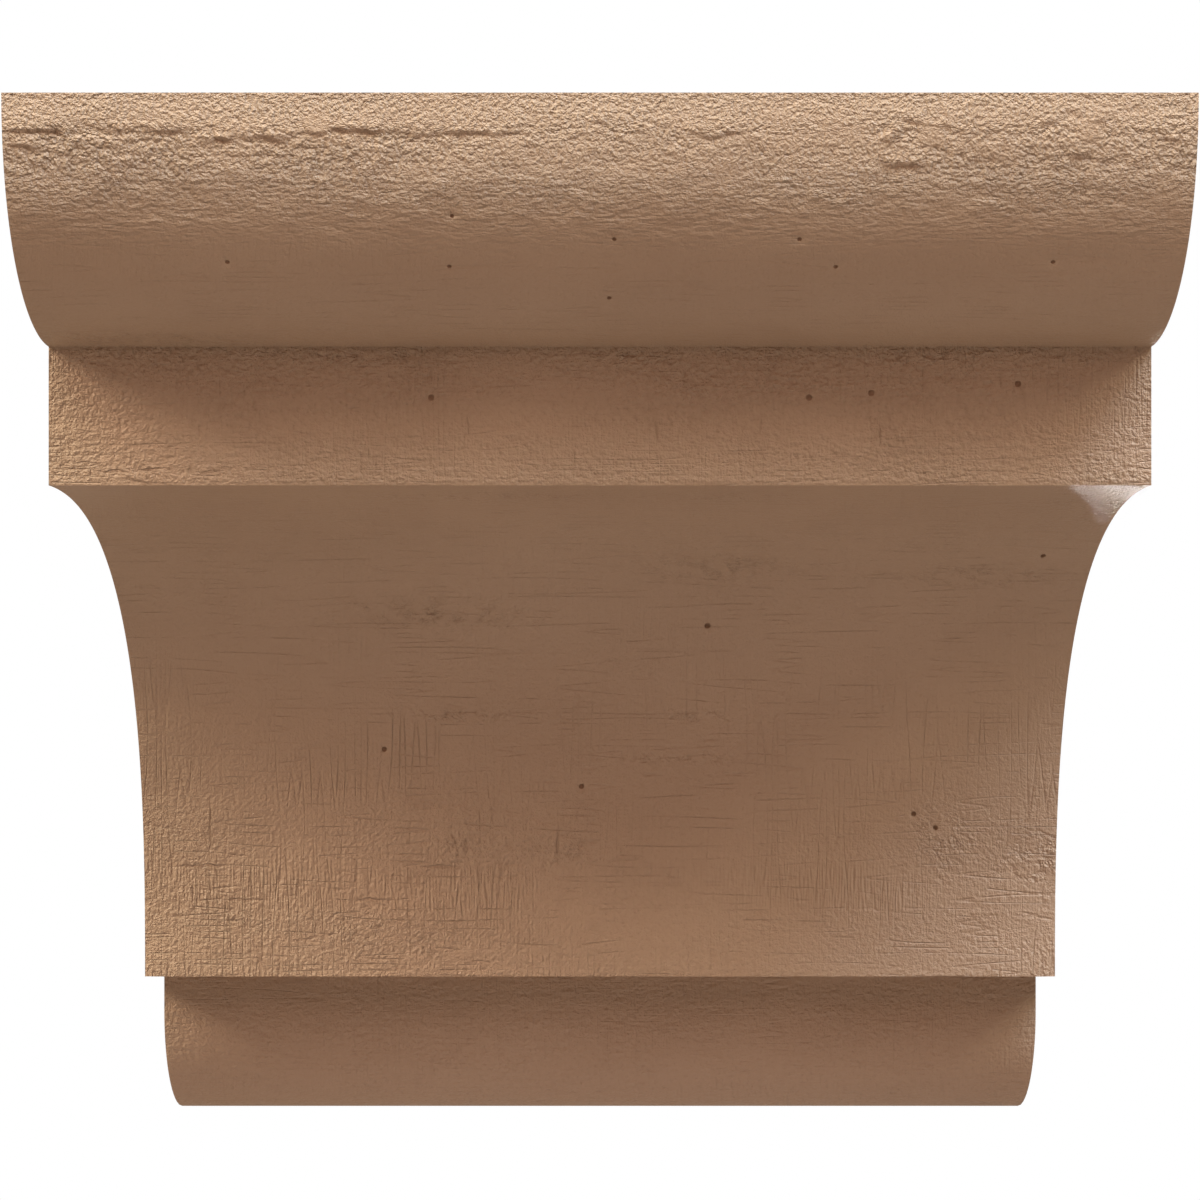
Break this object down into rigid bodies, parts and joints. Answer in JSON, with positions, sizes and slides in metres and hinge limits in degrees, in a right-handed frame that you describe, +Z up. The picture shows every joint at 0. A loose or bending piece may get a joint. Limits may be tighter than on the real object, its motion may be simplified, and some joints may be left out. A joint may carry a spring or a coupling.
{
  "type": "corbel",
  "caption": "Cast urethane corbel: a square-cornered bracket with ovolo, fillet, deep cove and bullnose mouldings on its front and sides, and a sandblasted wood texture.",
  "frame": {"origin": "centre of the flat back, on the centre line and halfway up", "axes": "+Y out of the back, into the wall; -Y is the way the face looks; +Z up; +X to the viewer's right when looking at the face"},
  "size_m": [0.2032, 0.1524, 0.173],
  "materials": {
    "primed_urethane": "tan primer with a low sheen over a sandblasted wood texture"
  },
  "bodies": {
    "root": {"corbel": "primed_urethane"}
  },
  "joints": []
}
